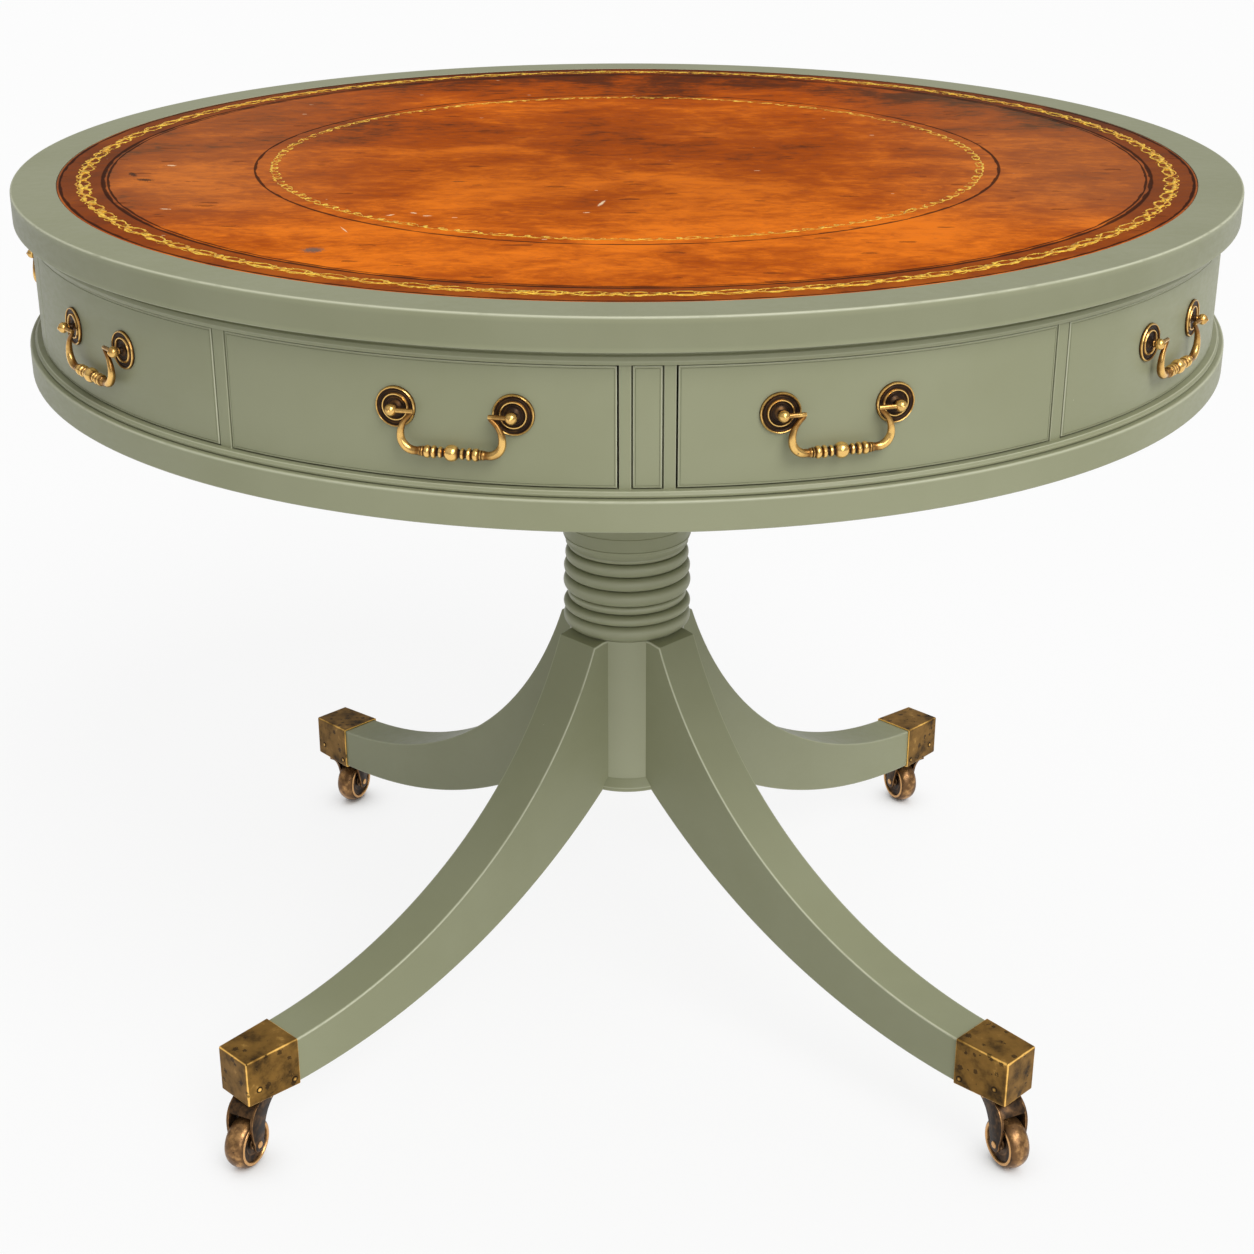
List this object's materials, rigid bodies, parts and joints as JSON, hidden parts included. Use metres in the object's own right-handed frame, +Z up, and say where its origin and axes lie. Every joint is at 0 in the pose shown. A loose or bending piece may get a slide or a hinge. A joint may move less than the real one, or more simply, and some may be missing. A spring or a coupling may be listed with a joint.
{
  "type": "drum table",
  "caption": "Round table with a leather-lined top on a drum of drawers and dummy fronts, turning on a ringed column with sabre legs and castors.",
  "frame": {"origin": "on the floor, under the centre of the column", "axes": "+Z up; -Y the front, with the real drawer left of the front's wide pilaster; +X to the right"},
  "size_m": [0.976, 0.976, 0.76],
  "materials": {
    "painted_wood": "grey-green paint, satin, with worn pale edges",
    "leather": "aged tan leather with gilt tooling and wear",
    "bare_wood": "unpainted oak, waxed",
    "handle_brass": "polished brass with dark recesses",
    "cap_brass": "antique brass, pitted, bright worn edges",
    "castor_bronze": "dark bronzed brass",
    "steel": "plain turned steel"
  },
  "bodies": {
    "base": {"column": "painted_wood", "column_cap": "painted_wood", "platform": "painted_wood", "spindle": "steel", "spindle_nut": "steel", "leg_front_right": "painted_wood", "leg_back_right": "painted_wood", "leg_back_left": "painted_wood", "leg_front_left": "painted_wood", "box_caps": "cap_brass", "cap_screws": "cap_brass", "castor_pins": "castor_bronze"},
    "drum": {"top_board": "painted_wood", "leather_inset": "leather", "top_rail": "painted_wood", "bottom_rail": "painted_wood", "drum_floor": "painted_wood", "drum_hub": "bare_wood", "wide_pilasters": "painted_wood", "pilaster_panels": "painted_wood", "narrow_stiles": "painted_wood", "dummy_fronts": "painted_wood", "dummy_handle_posts": "handle_brass", "drawer_guides": "bare_wood", "drawer_stops": "bare_wood"},
    "drawer_1": {"drawer_front_1": "painted_wood", "drawer_box_1": "bare_wood", "drawer_posts_1": "handle_brass"},
    "drawer_2": {"drawer_front_2": "painted_wood", "drawer_box_2": "bare_wood", "drawer_posts_2": "handle_brass"},
    "drawer_3": {"drawer_front_3": "painted_wood", "drawer_box_3": "bare_wood", "drawer_posts_3": "handle_brass"},
    "drawer_4": {"drawer_front_4": "painted_wood", "drawer_box_4": "bare_wood", "drawer_posts_4": "handle_brass"},
    "drawer_5": {"drawer_front_5": "painted_wood", "drawer_box_5": "bare_wood", "drawer_posts_5": "handle_brass"},
    "drawer_handle_1": {"drawer_bail_1": "handle_brass"},
    "drawer_handle_2": {"drawer_bail_2": "handle_brass"},
    "drawer_handle_3": {"drawer_bail_3": "handle_brass"},
    "drawer_handle_4": {"drawer_bail_4": "handle_brass"},
    "drawer_handle_5": {"drawer_bail_5": "handle_brass"},
    "dummy_handle_1": {"dummy_bail_1": "handle_brass"},
    "dummy_handle_2": {"dummy_bail_2": "handle_brass"},
    "dummy_handle_3": {"dummy_bail_3": "handle_brass"},
    "dummy_handle_4": {"dummy_bail_4": "handle_brass"},
    "dummy_handle_5": {"dummy_bail_5": "handle_brass"},
    "castor_front_right": {"castor_fork_front_right": "castor_bronze"},
    "wheel_front_right": {"castor_wheel_front_right": "castor_bronze"},
    "castor_back_right": {"castor_fork_back_right": "castor_bronze"},
    "wheel_back_right": {"castor_wheel_back_right": "castor_bronze"},
    "castor_back_left": {"castor_fork_back_left": "castor_bronze"},
    "wheel_back_left": {"castor_wheel_back_left": "castor_bronze"},
    "castor_front_left": {"castor_fork_front_left": "castor_bronze"},
    "wheel_front_left": {"castor_wheel_front_left": "castor_bronze"}
  },
  "joints": [
    {"name": "drum_turn", "type": "hinge", "parent": "base", "child": "drum", "pos_m": [0, 0, 0.618], "axis": [0, 0, 1], "continuous": true},
    {"name": "drawer_1_slide", "type": "slide", "parent": "drum", "child": "drawer_1", "axis": [-0.2961, -0.9552, 0], "range_m": [0, 0.2]},
    {"name": "drawer_2_slide", "type": "slide", "parent": "drum", "child": "drawer_2", "axis": [0.8169, -0.5768, 0], "range_m": [0, 0.2]},
    {"name": "drawer_3_slide", "type": "slide", "parent": "drum", "child": "drawer_3", "axis": [0.801, 0.5987, 0], "range_m": [0, 0.2]},
    {"name": "drawer_4_slide", "type": "slide", "parent": "drum", "child": "drawer_4", "axis": [-0.3219, 0.9468, 0], "range_m": [0, 0.2]},
    {"name": "drawer_5_slide", "type": "slide", "parent": "drum", "child": "drawer_5", "axis": [-0.9999, -0.0136, 0], "range_m": [0, 0.2]},
    {"name": "drawer_handle_1_swing", "type": "hinge", "parent": "drawer_1", "child": "drawer_handle_1", "pos_m": [-0.11116, -0.46939, 0.69197], "axis": [-0.9731, 0.2304, 0], "range_deg": [-2.5, 150]},
    {"name": "drawer_handle_2_swing", "type": "hinge", "parent": "drawer_2", "child": "drawer_handle_2", "pos_m": [0.39405, -0.27822, 0.69197], "axis": [-0.5768, -0.8169, 0], "range_deg": [-2.5, 150]},
    {"name": "drawer_handle_3_swing", "type": "hinge", "parent": "drawer_3", "child": "drawer_handle_3", "pos_m": [0.38637, 0.2888, 0.69197], "axis": [0.5987, -0.801, 0], "range_deg": [-2.5, 150]},
    {"name": "drawer_handle_4_swing", "type": "hinge", "parent": "drawer_4", "child": "drawer_handle_4", "pos_m": [-0.15526, 0.4567, 0.69197], "axis": [0.9468, 0.3219, 0], "range_deg": [-2.5, 150]},
    {"name": "drawer_handle_5_swing", "type": "hinge", "parent": "drawer_5", "child": "drawer_handle_5", "pos_m": [-0.48233, -0.00654, 0.69197], "axis": [-0.0136, 0.9999, 0], "range_deg": [-2.5, 150]},
    {"name": "dummy_handle_1_swing", "type": "hinge", "parent": "drum", "child": "dummy_handle_1", "pos_m": [0.13654, -0.46264, 0.69197], "axis": [-0.9591, -0.2831, 0], "range_deg": [-2.5, 150]},
    {"name": "dummy_handle_2_swing", "type": "hinge", "parent": "drum", "child": "dummy_handle_2", "pos_m": [0.48197, 0.01972, 0.69197], "axis": [0.0409, -0.9992, 0], "range_deg": [-2.5, 150]},
    {"name": "dummy_handle_3_swing", "type": "hinge", "parent": "drum", "child": "dummy_handle_3", "pos_m": [0.13018, 0.46448, 0.69197], "axis": [0.9629, -0.2699, 0], "range_deg": [-2.5, 150]},
    {"name": "dummy_handle_4_swing", "type": "hinge", "parent": "drum", "child": "dummy_handle_4", "pos_m": [-0.40152, 0.26734, 0.69197], "axis": [0.5542, 0.8324, 0], "range_deg": [-2.5, 150]},
    {"name": "dummy_handle_5_swing", "type": "hinge", "parent": "drum", "child": "dummy_handle_5", "pos_m": [-0.37833, -0.29925, 0.69197], "axis": [-0.6204, 0.7843, 0], "range_deg": [-2.5, 150]},
    {"name": "castor_front_right_swivel", "type": "hinge", "parent": "base", "child": "castor_front_right", "pos_m": [0.30406, -0.30406, 0.06], "axis": [0, 0, 1], "continuous": true},
    {"name": "wheel_front_right_roll", "type": "hinge", "parent": "castor_front_right", "child": "wheel_front_right", "pos_m": [0.31082, -0.31856, 0.0225], "axis": [0.9063, 0.4226, 0], "continuous": true},
    {"name": "castor_back_right_swivel", "type": "hinge", "parent": "base", "child": "castor_back_right", "pos_m": [0.30406, 0.30406, 0.06], "axis": [0, 0, 1], "continuous": true},
    {"name": "wheel_back_right_roll", "type": "hinge", "parent": "castor_back_right", "child": "wheel_back_right", "pos_m": [0.29729, 0.31856, 0.0225], "axis": [-0.9063, -0.4226, 0], "continuous": true},
    {"name": "castor_back_left_swivel", "type": "hinge", "parent": "base", "child": "castor_back_left", "pos_m": [-0.30406, 0.30406, 0.06], "axis": [0, 0, 1], "continuous": true},
    {"name": "wheel_back_left_roll", "type": "hinge", "parent": "castor_back_left", "child": "wheel_back_left", "pos_m": [-0.29729, 0.31856, 0.0225], "axis": [-0.9063, 0.4226, 0], "continuous": true},
    {"name": "castor_front_left_swivel", "type": "hinge", "parent": "base", "child": "castor_front_left", "pos_m": [-0.30406, -0.30406, 0.06], "axis": [0, 0, 1], "continuous": true},
    {"name": "wheel_front_left_roll", "type": "hinge", "parent": "castor_front_left", "child": "wheel_front_left", "pos_m": [-0.31082, -0.31856, 0.0225], "axis": [0.9063, -0.4226, 0], "continuous": true}
  ]
}
